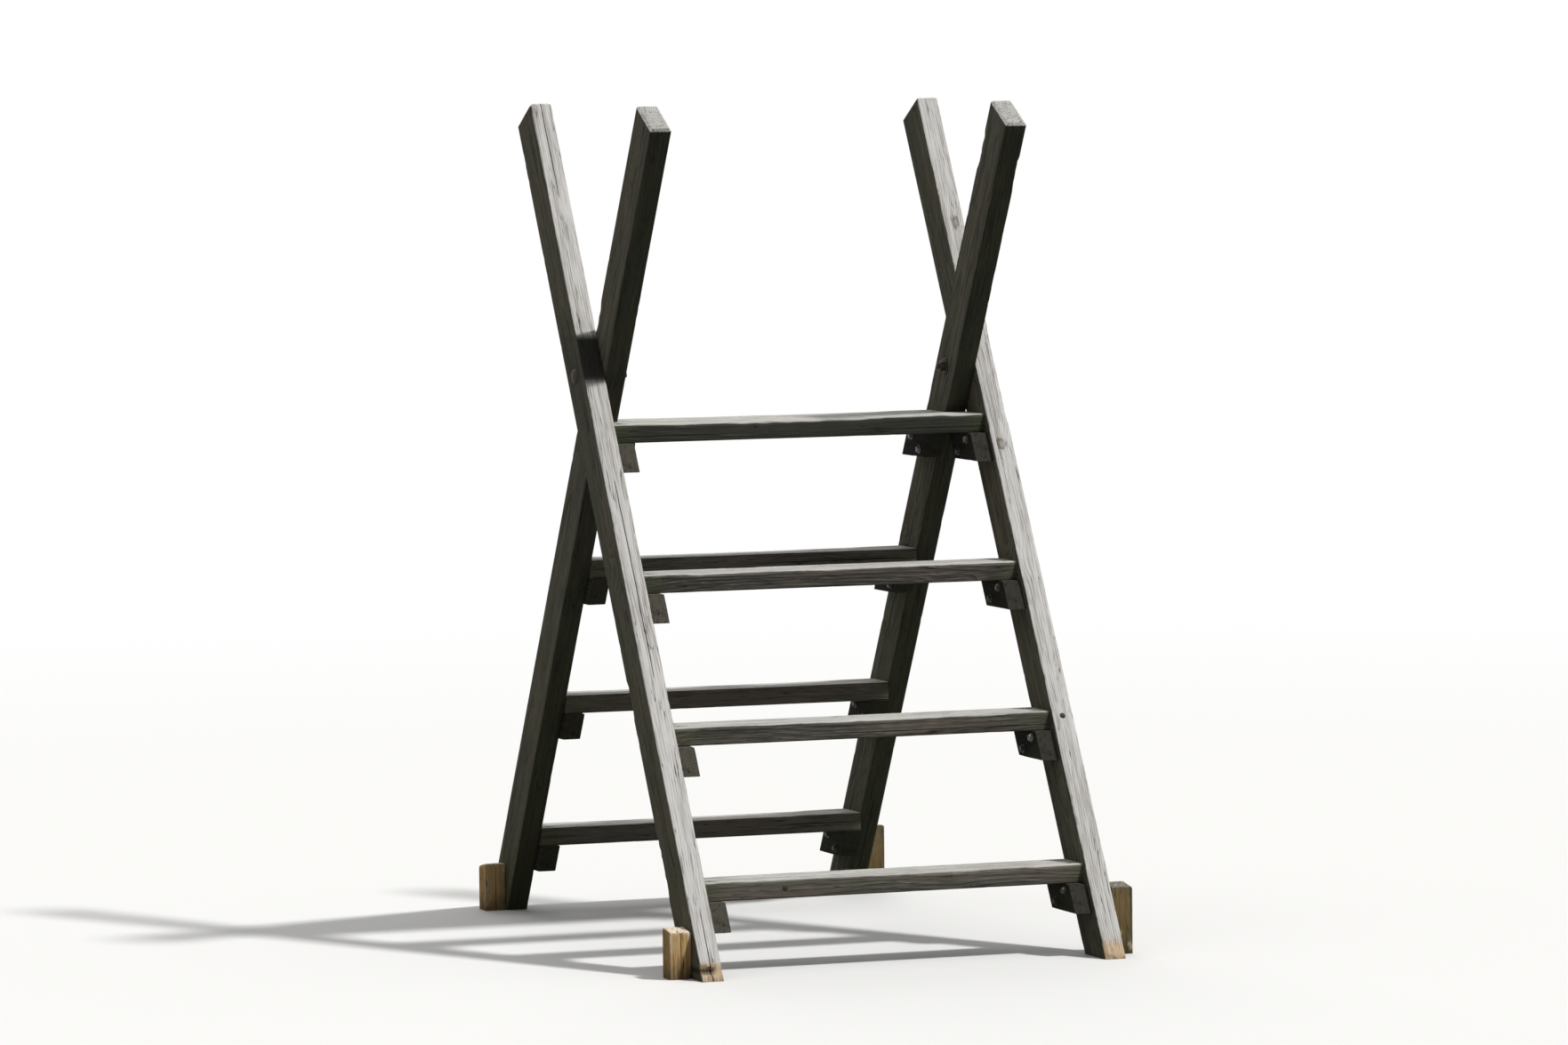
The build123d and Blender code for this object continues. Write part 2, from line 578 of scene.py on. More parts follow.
# %% Exposure to weather
def make_exposure():
    tree, taken, given = new_group(
        "exposure", dict(vector=["Board"], value=["Arris", "Groove", "Shelter", "Nibble"]),
        dict(value=["Bleach", "Damp", "Under", "Height"]))
    board = taken["Board"]
    where = add(tree, "ShaderNodeTexCoord").outputs
    facing = parts_of(tree, where["Normal"])
    height = parts_of(tree, where["Object"])[2]
    uneven = swing(tree, stretched(tree, board, 6.0, 30.0), 4.0, 0.65)
    nibbled = swing(tree, stretched(tree, board, 28.0, 70.0))
    at_arris = times(tree, times(tree, taken["Arris"], nibbled), taken["Nibble"])
    upward = total(tree, (facing[2], 0.95), (facing[1], -0.10), (uneven, 0.60), (at_arris, 1.0),
                   (taken["Groove"], -3.0))
    exposed = calc(tree, "SUBTRACT", upward, taken["Shelter"])
    low = remap(tree, height, 0.0, 1.2, 0.34, 0.0)
    blotch = swing(tree, stretched(tree, board, 9.0, 21.0))
    damp = total(tree, (upward, -0.8), (low, 1.0), (blotch, 1.5))
    # Under marks the undersides, which are painted darker as shade.
    give(tree, given, Bleach=remap(tree, exposed, -0.15, 0.15), Damp=remap(tree, damp, 0.0, 0.75),
         Under=remap(tree, facing[2], -0.10, -0.42), Height=height)
    return tree


exposure = make_exposure()
print("exposure:", len(exposure.nodes), "nodes")

# %% [markdown]
# ## Group: arris wear
# Corners are rubbed clean by boots and hands. The mesh says how near an arris each point is, and
# a noise breaks the line up. It shows only where the wood has bleached.


# %% Arris wear
def make_arris_wear():
    tree, taken, given = new_group(
        "arris wear", dict(vector=["Board"], value=["Arris", "Bleach"]), dict(value=["Worn"]))
    broken = cloud(tree, stretched(tree, taken["Board"], 22.0, 60.0))
    rubbed = times(tree, taken["Arris"], remap(tree, broken, 0.35, 0.62, 0.25, 1.0))
    give(tree, given, Worn=times(tree, remap(tree, rubbed, 0.45, 1.0), taken["Bleach"]))
    return tree


arris_wear = make_arris_wear()
print("arris wear:", len(arris_wear.nodes), "nodes")

# %% [markdown]
# ## Group: weathered face
# Silver and Silver Streak are the two tones of a face that has bleached. Side, Warm and Side Dark
# are those of one that hasn't, which Tone makes lighter or darker on a whole board. Bleach says
# which of the two shows, undersides are darker still, partly from damp and partly as painted
# shade, and damp places are tinted green.

# %% Weathered face
GREEN = (0.095, 0.110, 0.055)
# The colour of painted shade, for undersides and for the shade that the mesh stores.
PAINTED_SHADE_COLOUR = (0.022, 0.022, 0.018)


def make_weathered_face():
    masks = ["Latewood", "Fibre", "Streak", "Patch", "Bleach", "Damp", "Under", "Tone", "Green"]
    tones = ["Silver", "Silver Streak", "Side", "Side Dark", "Warm"]
    tree, taken, given = new_group(
        "weathered face", dict(value=masks, colour=tones), dict(colour=["Colour"]))
    light = total(tree, (taken["Streak"], 0.95), (taken["Fibre"], 0.55), (taken["Patch"], 0.55),
                  (taken["Latewood"], -0.22))
    bleached = mixed(tree, remap(tree, light, 0.66, 1.12), taken["Silver Streak"], taken["Silver"])
    warm_patch = times(tree, remap(tree, taken["Patch"], 0.44, 0.62), 0.75)
    lighter = mixed(tree, warm_patch, taken["Side"], taken["Warm"])
    toned = calc(tree, "ADD", light, taken["Tone"])
    shaded = mixed(tree, remap(tree, toned, 0.70, 1.25), taken["Side Dark"], lighter)
    # Undersides are painted darker: painted shade over the damp that they hold.
    shaded = mixed(tree, times(tree, taken["Under"], 0.72), shaded, PAINTED_SHADE_COLOUR)
    colour = mixed(tree, taken["Bleach"], shaded, bleached)
    greenish = calc(tree, "ADD", times(tree, taken["Damp"], 0.5), taken["Green"])
    greenish = times(tree, greenish, remap(tree, taken["Streak"], 0.3, 0.65, 0.4, 1.0))
    greenish = times(tree, greenish, remap(tree, taken["Bleach"], 0.0, 1.0, 1.0, 0.25))
    give(tree, given, Colour=mixed(tree, greenish, colour, GREEN))
    return tree


weathered_face = make_weathered_face()
print("weathered face:", len(weathered_face.nodes), "nodes")

# %% [markdown]
# ## Group: knots, ends, stains and shade
# These lie over the colour of a face. A knot has a ragged dark rim, and its heart bleaches with
# the face. Fresh is the wood where an arris has been rubbed, and End is sawn end grain, which
# bleaches pale and shows its year rings. Last comes the painted shade and darkening that the mesh
# stores, which show most where the wood has bleached.

# %% Knots, ends, stains and shade
KNOT_HEART = (0.082, 0.064, 0.047)
BLEACHED_HEART = (0.340, 0.300, 0.245)
KNOT_RIM = (0.030, 0.025, 0.020)


def make_knots_and_ends():
    masks = ["Latewood", "Streak", "Bleach", "Knot", "Rim", "Worn", "End Face", "Stain And Shade"]
    tones = ["Colour", "Side Dark", "Fresh", "End"]
    tree, taken, given = new_group(
        "knots, ends, stains and shade", dict(value=masks, colour=tones), dict(colour=["Colour"]))
    heart = mixed(tree, taken["Bleach"], KNOT_HEART, BLEACHED_HEART)
    knot_colour = mixed(tree, times(tree, taken["Rim"], 0.75), heart, KNOT_RIM)
    broken = remap(tree, taken["Streak"], 0.35, 0.62, 0.90, 0.40)
    colour = mixed(tree, times(tree, taken["Knot"], broken), taken["Colour"], knot_colour)
    colour = mixed(tree, times(tree, taken["Worn"], 0.30), colour, taken["Fresh"])
    bleached_end = times(tree, taken["End Face"], remap(tree, taken["Bleach"], 0.0, 1.0, 0.3, 0.8))
    colour = mixed(tree, bleached_end, colour, taken["End"])
    rings = times(tree, taken["End Face"], times(tree, taken["Latewood"], 0.45))
    colour = mixed(tree, rings, colour, taken["Side Dark"])
    # The stored painted shade darkens the colour here, most where the wood has bleached.
    shows = remap(tree, taken["Bleach"], 0.0, 0.6, 0.3, 1.0)
    give(tree, given, Colour=mixed(tree, times(tree, taken["Stain And Shade"], shows), colour, PAINTED_SHADE_COLOUR))
    return tree


knots_and_ends = make_knots_and_ends()
print("knots, ends, stains and shade:", len(knots_and_ends.nodes), "nodes")

# %% [markdown]
# ## Group: cracks
# Finer cracks are drawn here: hairlines along a face, and cracks that run out from the pith
# across an end. Crack covers these and the checks of the mesh, and their darkness is painted
# shade. The same group gives the relief, because latewood stands proud of the softer wood between
# its lines.


# %% Cracks and relief
def make_cracks():
    masks = ["Latewood", "Fibre", "Streak", "Hairline", "Ray Crack", "Check", "End Face"]
    tree, taken, given = new_group("cracks", dict(value=masks), dict(value=["Crack", "Relief"]))
    in_end = times(tree, taken["End Face"], taken["Ray Crack"])
    on_face = times(tree, taken["Hairline"], calc(tree, "SUBTRACT", 1.0, taken["End Face"]))
    crack = calc(tree, "MAXIMUM", times(tree, taken["Check"], 0.9), in_end)
    crack = calc(tree, "MAXIMUM", crack, times(tree, on_face, 0.78))
    relief = total(tree, (taken["Latewood"], 0.55), (taken["Fibre"], 0.55), (taken["Streak"], 0.6),
                   (in_end, -1.6), (on_face, -1.2))
    give(tree, given, Crack=crack, Relief=relief)
    return tree


cracks = make_cracks()
print("cracks:", len(cracks.nodes), "nodes")

# %% [markdown]
# ## The timber finishes
# Legs, treads, cleats and pegs share one recipe with values of their own. It reads what
# wear_board and finish_board stored on the mesh and passes it from group to group by name. Marks
# that only one kind of board has are added near the end.

# %% One recipe for weathered timber
# The painted shade inside cracks and checks, and in the notch of the front left foot.
RECESS_SHADE = (0.012, 0.010, 0.008)
STORED = {"Arris": "arris", "Groove": "groove", "Check": "check", "Tone": "tone",
          "Green": "green", "Stain And Shade": "stain_and_shade", "End Face": "end_grain"}


def told(tree, name, output="Fac"):
    """A value that is stored on the mesh."""
    return add(tree, "ShaderNodeAttribute", attribute_name=name).outputs[output]


def timber(name, silver, streak, side, side_dark, warm, fresh, end, pith, shelter=0.35,
           nibble=1.9, placed_knots=(FAR_AWAY, FAR_AWAY), marks=None):
    """A weathered timber material. marks may change the colour and the relief near the end."""
    made = bpy.data.materials.new(name)
    tree = cleared(made)
    tones = {"Silver": silver, "Silver Streak": streak, "Side": side, "Side Dark": side_dark,
             "Warm": warm, "Fresh": fresh, "End": end}
    stored = {label: told(tree, layer) for label, layer in STORED.items()}
    board = told(tree, "board", "Vector")
    knot = use(tree, knots, Board=board, First=placed_knots[0], Second=placed_knots[1])
    wood = use(tree, figure, knot, Board=board, Pith_Y=pith[0], Pith_Z=pith[1])
    weather = use(tree, exposure, stored, Board=board, Shelter=shelter, Nibble=nibble)
    wear = use(tree, arris_wear, stored, weather, Board=board)
    face = use(tree, weathered_face, wood, weather, stored, tones)
    colour = use(tree, knots_and_ends, wood, weather, knot, wear, stored, face, tones)["Colour"]
    cracked = use(tree, cracks, wood, stored)
    relief = cracked["Relief"]
    if marks:
        colour, relief = marks(tree, board, weather, wood, colour, relief)
    # Painted shade in the cracks and checks.
    colour = mixed(tree, cracked["Crack"], colour, RECESS_SHADE)
    bump = add(tree, "ShaderNodeBump", {"Height": relief, "Strength": 0.7, "Distance": 0.0014})
    rough = remap(tree, wood["Streak"], 0.2, 0.8, 0.80, 0.96)
    shader = add(tree, "ShaderNodeBsdfPrincipled",
                 {"Base Color": colour, "Roughness": rough, "Normal": bump.outputs[0],
                  "Specular IOR Level": 0.08})
    add(tree, "ShaderNodeOutputMaterial", {"Surface": shader.outputs[0]})
    return made


# %% [markdown]
# ## Marks on the legs
# Low on the front legs the front faces have been struck pale by tools at work round the feet, and
# every foot is darker at its bottom. The band's edge is ragged, because it follows where the blows
# fell.


# %% Marks on the legs
FRESH_WOOD = (0.74, 0.57, 0.36)
DARK_FIBRE = (0.47, 0.32, 0.175)
# The colour that feet and pegs darken towards at the bottom.
DARK_AT_FOOT = (0.085, 0.062, 0.038)
BAND_HEIGHT = 0.034


def leg_marks(tree, board, weather, wood, colour, relief):
    ragged = swing(tree, stretched(tree, board, 30.0, 85.0), 4.0)
    level = total(tree, (weather["Height"], 1.0), (ragged, 0.045))
    band = remap(tree, level, BAND_HEIGHT - 0.008, BAND_HEIGHT + 0.006, 1.0, 0.0)
    where = add(tree, "ShaderNodeTexCoord").outputs
    front_ladder = remap(tree, parts_of(tree, where["Object"])[1], -0.1, 0.1, 1.0, 0.0)
    front_face = remap(tree, parts_of(tree, where["Normal"])[1], -0.25, -0.6)
    struck = times(tree, times(tree, band, front_ladder), front_face)
    fibrous = mixed(tree, remap(tree, wood["Fibre"], 0.3, 0.7), DARK_FIBRE, FRESH_WOOD)
    colour = mixed(tree, times(tree, struck, 0.88), colour, fibrous)
    # Every foot is darker at its bottom.
    colour = mixed(tree, remap(tree, level, -0.006, 0.012, 0.62, 0.0), colour, DARK_AT_FOOT)
    # Painted shade in the notch of the front left foot, which the mesh stores.
    at_foot = remap(tree, weather["Height"], 0.05, 0.08, 1.0, 0.0)
    colour = mixed(tree, times(tree, told(tree, "stain_and_shade"), at_foot), colour, RECESS_SHADE)
    return colour, total(tree, (relief, 1.0), (times(tree, struck, wood["Fibre"]), 1.2))


# %% [markdown]
# ## Marks on the treads
# Rain carries zinc and iron from each nail into the grain, which leaves a dark ring and a short
# streak. The ends, where a leg keeps the damp in, are tinted green.


# %% Marks on the treads
NAIL_FROM_END = 0.019
NAIL_FROM_MIDDLE = 0.028
NAIL_STAIN = (0.045, 0.040, 0.036)


def tread_marks(tree, board, weather, wood, colour, relief):
    parts = parts_of(tree, board)
    along = calc(tree, "SUBTRACT", told(tree, "from_end"), NAIL_FROM_END)
    across = calc(tree, "SUBTRACT", calc(tree, "ABSOLUTE", parts[1]), NAIL_FROM_MIDDLE)
    from_nail = root_of_squares(tree, (along, 0.22), (across, 1.0))
    ragged = total(tree, (from_nail, 1.0), (wood["Streak"], 0.006))
    on_top = remap(tree, parts[2], 0.012, 0.017)
    stain_and_shade = times(tree, remap(tree, ragged, 0.006, 0.014, 0.7, 0.0), on_top)
    colour = mixed(tree, stain_and_shade, colour, NAIL_STAIN)
    near_leg = total(tree, (told(tree, "from_end"), 1.0), (wood["Patch"], 0.11))
    shady = calc(tree, "SUBTRACT", 1.0, weather["Bleach"])
    greenish = times(tree, remap(tree, near_leg, 0.13, 0.06, 0.0, 0.42), shady)
    return mixed(tree, greenish, colour, GREEN), relief


# %% [markdown]
# ## Marks on the pegs
# The pegs are newer than the rest: the sawn head is still pale and the sides are tan, darker
# towards the foot and with a few bruises.


# %% Marks on the pegs
BRUISE = (0.66, 0.52, 0.34)


def peg_marks(tree, board, weather, wood, colour, relief):
    ragged = swing(tree, stretched(tree, board, 30.0, 70.0), 4.0)
    level = total(tree, (weather["Height"], 1.0), (ragged, 0.07))
    # Darker towards the foot.
    colour = mixed(tree, remap(tree, level, 0.0, 0.045, 0.7, 0.0), colour, DARK_AT_FOOT)
    bruised = times(tree, remap(tree, ragged, 0.13, 0.20), 0.6)
    return mixed(tree, bruised, colour, BRUISE), relief


# %% [markdown]
# ## Places of the legs
# A leg is one straight length, sawn level at the foot and square at the top. Its place is worked
# out before its finish, because two knots on the front right leg are put where the real ones are.


# %% Places of the legs
def leg_place(ladder, side_name):
    """The matrix and the size of a leg, which is still too long at its foot."""
    low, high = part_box(f"{ladder}_{side_name}_leg")
    outward = LADDERS[ladder]
    grain = Vector((0, -outward * sin(LEAN), cos(LEAN)))
    post = (high.z - CROSSING) / cos(LEAN) - (LEG_DEPTH / 2 - SAWN_END_CHAMFER) * tan(LEAN)
    foot = CROSSING / cos(LEAN) + LEG_DEPTH
    centre = Vector(((low.x + high.x) / 2, 0, CROSSING)) + grain * (post - foot) / 2
    place = placing(centre, grain, (0, outward * cos(LEAN), sin(LEAN)))
    return place, (post + foot, LEG_DEPTH, high.x - low.x)


def front_face_y(height):
    """Where the front face of a front leg is, at a height."""
    return -(CROSSING - height) * tan(LEAN) - LEVEL_DEPTH / 2


LEG_SEEDS = {("front", "left"): 1, ("front", "right"): 2, ("rear", "left"): 3, ("rear", "right"): 4}


def on_front_right_leg(x, height):
    """A place in the log on the front face of the front right leg."""
    place = leg_place("front", "right")[0]
    point = place.inverted() @ Vector((x, front_face_y(height), height))
    return tuple(in_log(point, LEG_SEEDS["front", "right"]))


REAL_KNOTS = [on_front_right_leg(0.421, 0.992), on_front_right_leg(0.424, 1.433)]
print("knots placed in the log at", [round(knot[0], 3) for knot in REAL_KNOTS], "m")

# %% [markdown]
# Each kind of board has tones of its own. The legs have bleached most and the cleats least, and
# the pegs are still the colour of new wood.

# %% Finishes of the four kinds of board
finishes = {
    "leg_timber": timber(
        "weathered leg", silver=(0.675, 0.660, 0.635), streak=(0.320, 0.298, 0.265),
        side=(0.205, 0.200, 0.158), side_dark=(0.060, 0.058, 0.042), warm=(0.190, 0.165, 0.118),
        fresh=(0.66, 0.63, 0.58), end=(0.475, 0.465, 0.430), pith=(0.015, -0.06), nibble=1.0,
        placed_knots=REAL_KNOTS, marks=leg_marks),
    "tread_timber": timber(
        "weathered tread", silver=(0.530, 0.525, 0.490), streak=(0.270, 0.255, 0.222),
        side=(0.225, 0.205, 0.175), side_dark=(0.046, 0.045, 0.040), warm=(0.200, 0.155, 0.135),
        fresh=(0.50, 0.48, 0.43), end=(0.36, 0.33, 0.27), pith=(0.03, -0.05), shelter=0.69,
        nibble=0.4, marks=tread_marks),
    "cleat_timber": timber(
        "weathered cleat", silver=(0.125, 0.118, 0.098), streak=(0.060, 0.055, 0.044),
        side=(0.066, 0.060, 0.046), side_dark=(0.020, 0.018, 0.014), warm=(0.066, 0.052, 0.037),
        fresh=(0.14, 0.125, 0.10), end=(0.090, 0.082, 0.064), pith=(0.05, 0.02)),
    "peg_timber": timber(
        "newer peg", silver=(0.74, 0.61, 0.42), streak=(0.50, 0.34, 0.17),
        side=(0.64, 0.425, 0.195), side_dark=(0.37, 0.220, 0.088), warm=(0.61, 0.355, 0.130),
        fresh=(0.70, 0.56, 0.38), end=(0.88, 0.80, 0.66), pith=(0.03, 0.04), marks=peg_marks),
}
print("finishes:", ", ".join(m.name for m in finishes.values()))

# %% [markdown]
# ## Legs
# In a leg's own directions the level foot is a sloping cut, so the block starts too long and is
# bisected. The struck band at the front feet is cut back a few millimetres, and the front left
# foot has one deep notch in it. Where the legs cross, the other leg's shadow is painted dark on
# the front left one, and the shade in its notch is painted too.

# %% Wear that only some legs have
NOTCH_HEIGHT = 0.021
NOTCH_HALF_HEIGHT = 0.008
NOTCH_ENDS_AT = -0.412
NOTCH_DEPTH = 0.011
BITE_DEPTH = 0.0032
# How far the painted shadow of the other leg reaches above and below the crossing.
SHADOW_ABOVE_CROSSING = 0.084
SHADOW_BELOW_CROSSING = 0.016


def in_notch(place):
    """How deep in the notch of the front left foot a place is, from 0 to 1."""
    across = 1 - ramp(place.x, NOTCH_ENDS_AT - 0.008, NOTCH_ENDS_AT)
    return across * max(0.0, 1 - abs(place.z - NOTCH_HEIGHT) / NOTCH_HALF_HEIGHT)


def struck_foot(place, deep_notch):
    """What blows have taken out of a foot, as a move of each point in board directions."""
    def bite(point):
        at = place @ point
        band = 1 - ramp(at.z, BAND_HEIGHT * 0.7, BAND_HEIGHT * 1.25)
        rough = 0.55 + 0.9 * noise.noise((at.x * 130, at.y * 130, at.z * 160))
        depth = BITE_DEPTH * band * max(0.0, rough)
        if deep_notch:
            depth += NOTCH_DEPTH * in_notch(at) * (0.75 + 0.5 * noise.noise((at.x * 60, 3.0, 1.0)))
        return Vector((0, -depth, 0)) if point.y > 0 else Vector()
    return bite


def front_left_painted_shade(place):
    """Painted shadow where the other leg shades and laps this one, and painted shade in its foot's
    notch.
    """
    def stain_and_shade(point):
        at = place @ point
        over = at.z - CROSSING
        rises = ramp(over, -SHADOW_BELOW_CROSSING, 0.0)
        falls = 1 - ramp(over, SHADOW_ABOVE_CROSSING - 0.008, SHADOW_ABOVE_CROSSING)
        notch_shade = 0.9 * ramp(in_notch(at), 0.30, 0.75)
        return max(0.97 * rises * falls, notch_shade if point.y > 0 else 0.0)
    return stain_and_shade


# %% Legs
def make_leg(ladder, side_name):
    node = f"{ladder}_{side_name}_leg"
    seed = LEG_SEEDS[ladder, side_name]
    place, size = leg_place(ladder, side_name)
    shaded = (ladder, side_name) == ("front", "left")
    on_floor = place.inverted() @ Vector((place.translation.x, place.translation.y, 0))
    down = place.inverted().to_3x3() @ Vector((0, 0, -1))

    def saw_ends(bm, half):
        cut(bm, on_floor, down, drop=True)
        top = [e for e in bm.edges if min(v.co.x for v in e.verts) > half.x - CLOSE]
        round_edges(bm, top, SAWN_END_CHAMFER, segments=1)

    check_shares = ((0.22 + 0.1 * (seed % 3), 0.68), (0.45,))
    bm, lines = fine_board(size, LEG_ARRIS, saw_ends, check_shares)
    bite = struck_foot(place, side_name == "left") if ladder == "front" else None
    wear_board(bm, Vector(size) / 2, lines, seed, chips=0.0024, check_depth=0.006, extra=bite,
               stain_and_shade=front_left_painted_shade(place) if shaded else None)
    return finish_board(bm, node, "leg_timber", place)


legs = [make_leg(*key) for key in LEG_SEEDS]
print("legs:", [len(leg.data.polygons) for leg in legs], "faces")

# %% [markdown]
# ## Treads
# A tread is a plain plank. Boots round its walking edge and dish it, so that arris is bevelled
# more than the others and the top dips towards it. On the top front board the dish is deepest
# and ends short of the right-hand end.

# %% Wear of the treads
TREAD_LOOKS = {
    "front_top": dict(tone=-0.42, green=0.10, dish=0.0024, worn_from=-0.27, worn_to=0.12),
    "front_lower_1": dict(tone=-0.10, green=0.02, dish=0.0015, worn_from=-0.25, worn_to=0.22),
    "front_lower_2": dict(tone=-0.05, green=0.05, dish=0.0018, worn_from=-0.20, worn_to=0.24),
    "front_lower_3": dict(tone=0.04, green=0.05, dish=0.0013, worn_from=-0.28, worn_to=0.18),
}
PLAIN_LOOK = dict(tone=0.10, green=0.02, dish=0.0014, worn_from=-0.22, worn_to=0.22)
WEAR_FADE = 0.06


def boot_wear(half, dish, worn_from, worn_to):
    """The dish that boots leave, as a move of each point in board directions."""
    def wear(point):
        if point.z < 0:
            return Vector()
        start = ramp(point.x, worn_from - WEAR_FADE, worn_from)
        stop = 1 - ramp(point.x, worn_to, worn_to + WEAR_FADE)
        front = 1 - ramp((point.y + half.y) / (2 * half.y), 0.05, 0.8)
        uneven = 0.75 + 0.35 * noise.noise((point.x * 12, 2.0, point.y * 20))
        depth = dish * start * stop * front * uneven
        edge = ramp(-point.y, half.y * 0.8, half.y)
        return Vector((0, depth * 0.5 * edge, -depth))
    return wear


# %% Treads
FIRST_TREAD_SEED = 10


def make_tread(ladder, level, seed):
    node = f"{ladder}_{level}_tread"
    low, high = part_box(node)
    size = tuple(high - low)
    outward = LADDERS[ladder]
    place = placing((low + high) / 2, (-outward, 0, 0), (0, -outward, 0))
    look = TREAD_LOOKS.get(f"{ladder}_{level}", PLAIN_LOOK)

    def round_walking_edge(bm, half):
        walking = [e for e in bm.edges if runs_along(e) and e.verts[0].co.z > 0 and e.verts[0].co.y < 0]
        round_edges(bm, walking, WALKING_ARRIS, segments=3)

    check_shares = ((0.35, 0.7), (0.3 + 0.2 * (seed % 2),))
    bm, lines = fine_board(size, TREAD_ARRIS, round_walking_edge, check_shares)
    half = Vector(size) / 2
    wear_board(bm, half, lines, seed, chips=0.0013, check_depth=0.005,
               extra=boot_wear(half, look["dish"], look["worn_from"], look["worn_to"]),
               tone=look["tone"], green=look["green"])
    return finish_board(bm, node, "tread_timber", place)


treads = []
for ladder in LADDERS:
    for level in LEVELS:
        treads.append(make_tread(ladder, level, FIRST_TREAD_SEED + len(treads)))
print("treads:", [len(tread.data.polygons) for tread in treads], "faces")

# %% [markdown]
# ## Cleats
# A cleat is a short block under each end of a tread. Its ends follow the leg's slope, so the
# block is sheared before it is cut fine. Its grain runs level, from front to back. The cleats
# at the right-hand end are painted darker than the others, as painted shade.

# %% Cleats
FIRST_CLEAT_SEED = 20
# Painted shade on the right-hand cleats: a darker tone, and darkening all over.
RIGHT_CLEAT_SHADE_TONE = -0.45
RIGHT_CLEAT_SHADE = 0.65


def darken_all_over(amount):
    """The same darkening at every point of a board."""
    def stain_and_shade(point):
        return amount
    return stain_and_shade


def make_cleat(node, outward, seed):
    low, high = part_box(node)
    breadth = high.z - low.z
    size = (high.y - low.y - breadth * tan(LEAN), breadth, high.x - low.x)
    place = placing((low + high) / 2, (0, 1, 0), (0, 0, 1))

    def slope_ends(bm, half):
        shear = Matrix.Identity(4)
        shear[0][1] = -outward * tan(LEAN)
        bmesh.ops.transform(bm, matrix=shear, verts=bm.verts)

    bm, lines = fine_board(size, CLEAT_ARRIS, slope_ends, ((0.5,), ()))
    tone = 0.25 * noise.noise((seed * 1.7, 0.3, 0.8))
    right = low.x > 0
    wear_board(bm, Vector(size) / 2, lines, seed, chips=0.003, check_depth=0.004,
               tone=tone + RIGHT_CLEAT_SHADE_TONE if right else tone,
               stain_and_shade=darken_all_over(RIGHT_CLEAT_SHADE) if right else None)
    return finish_board(bm, node, "cleat_timber", place)


cleats = []
for ladder, outward in LADDERS.items():
    for level in LEVELS:
        for side_name in SIDES:
            node = f"{ladder}_{level}_{side_name}_cleat"
            cleats.append(make_cleat(node, outward, FIRST_CLEAT_SEED + len(cleats)))
print("cleats:", len(cleats), "of", len(cleats[0].data.polygons), "faces")

# %% [markdown]
# ## Pegs
# A square stake is driven beside each foot. Its head is sawn at a slant and the mallet has
# broken its edges. The two on the right are darker all over and greener. The rear left one is
# painted lighter, as painted light where the leg's shadow falls on it.

# %% Pegs
FIRST_PEG_SEED = 40
# Tone makes a whole peg lighter or darker, and damp darkens it all over. The rear left peg's tone is
# painted light.
PEG_LOOKS = {
    "front_left": dict(tone=0.10, green=0.0, damp=0.0),
    "front_right": dict(tone=-0.30, green=0.60, damp=0.75),
    "rear_left": dict(tone=0.45, green=0.0, damp=0.0),
    "rear_right": dict(tone=-0.45, green=0.65, damp=0.80),
}


def make_peg(corner, outward, seed):
    node = f"{corner}_peg"
    low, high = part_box(node)
    side = high.x - low.x
    height = high.z - low.z + side * tan(PEG_HEAD_SLOPE)
    place = placing(((low.x + high.x) / 2, (low.y + high.y) / 2, low.z + height / 2),
                    (0, 0, 1), (1, 0, 0))
    slant = Vector((cos(PEG_HEAD_SLOPE), 0, outward * sin(PEG_HEAD_SLOPE)))
    top = high.z + PEG_HEAD_CHAMFER * tan(PEG_HEAD_SLOPE)
    middle = top - side / 2 * tan(PEG_HEAD_SLOPE) - low.z - height / 2

    def saw_head(bm, half):
        cut(bm, Vector((middle, 0, 0)), slant, drop=True)
        bm.normal_update()
        crown = max(bm.faces, key=lambda face: face.normal.x)
        round_edges(bm, list(crown.edges), PEG_HEAD_CHAMFER, segments=2)

    size = (height, side, side)
    bm, lines = fine_board(size, PEG_ARRIS, saw_head, ((0.4,), (0.6,)))
    look = PEG_LOOKS[corner]
    wear_board(bm, Vector(size) / 2, lines, seed, chips=0.005, check_depth=0.005,
               tone=look["tone"], green=look["green"], stain_and_shade=darken_all_over(look["damp"]))
    return finish_board(bm, node, "peg_timber", place)


pegs = []
for ladder, outward in LADDERS.items():
    for side_name in SIDES:
        pegs.append(make_peg(f"{ladder}_{side_name}", outward, FIRST_PEG_SEED + len(pegs)))
print("pegs:", [len(peg.data.polygons) for peg in pegs], "faces")

# %% [markdown]
# ## Group: aged zinc
# Hot-dip zinc is bright when new and dulls to a blotchy dark grey. Rust shows first where the
# coat is thin, so a noise lets a little brown through. One noise is fine enough for the roughness
# and the relief, and a slow one makes some fixings brighter than others.

# %% Aged zinc
RUST = (0.13, 0.062, 0.030)


def make_aged_zinc():
    tree, taken, given = new_group(
        "aged zinc", dict(colour=["Zinc", "Dull"], value=["Rust"]),
        dict(colour=["Colour"], value=["Metallic", "Roughness", "Relief"]))
    where = add(tree, "ShaderNodeTexCoord").outputs["Object"]
    blotch = cloud(tree, stretched(tree, where, 170, 170))
    fine = cloud(tree, stretched(tree, where, 900, 900), 2.0)
    slow = cloud(tree, stretched(tree, where, 9, 9), 1.0)
    bright = remap(tree, total(tree, (blotch, 0.5), (slow, 1.0)), 0.70, 0.92)
    rusty = times(tree, remap(tree, blotch, 0.52, 0.40), taken["Rust"])
    zinc = mixed(tree, bright, taken["Dull"], taken["Zinc"])
    give(tree, given, Colour=mixed(tree, rusty, zinc, RUST), Metallic=times(tree, bright, 0.6),
         Roughness=remap(tree, fine, 0.3, 0.7, 0.50, 0.68), Relief=fine)
    return tree


